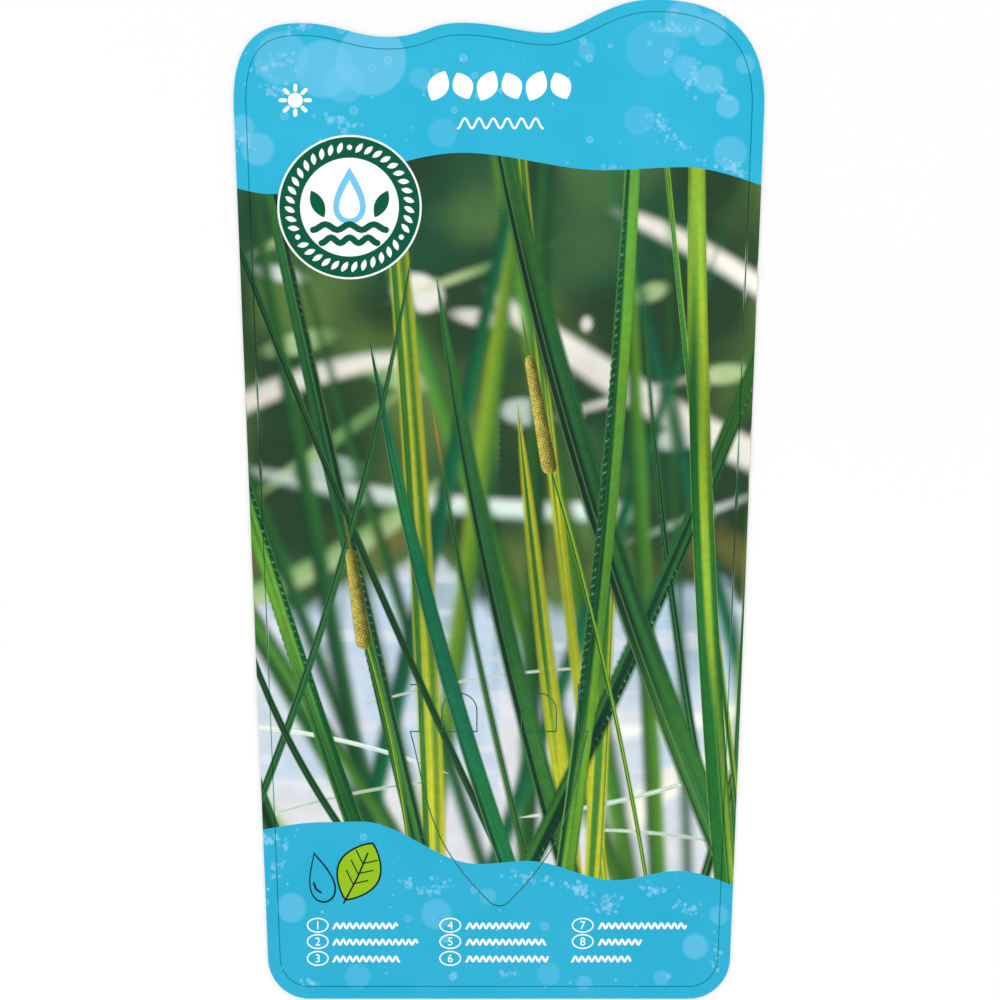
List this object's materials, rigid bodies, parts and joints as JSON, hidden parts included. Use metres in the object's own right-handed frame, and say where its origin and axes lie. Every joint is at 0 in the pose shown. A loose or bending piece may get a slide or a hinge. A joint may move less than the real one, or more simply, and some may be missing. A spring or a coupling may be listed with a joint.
{
  "type": "printed plastic plant label",
  "caption": "Flat printed plant label: a thin tapered plastic card with a waved top edge, rounded foot and a die-cut tongue that hooks over a pot rim.",
  "frame": {"origin": "middle of the card's back face, as its box has it; the card lies face up", "axes": "+Y towards the waved top edge, +X to the right as the print is read, +Z out of the printed face"},
  "size_m": [0.085, 0.16, 0.0005],
  "materials": {
    "printed_plastic": "white plastic sheet with a satin clear coat over the print"
  },
  "bodies": {
    "root": {"label_card": "printed_plastic"}
  },
  "joints": []
}
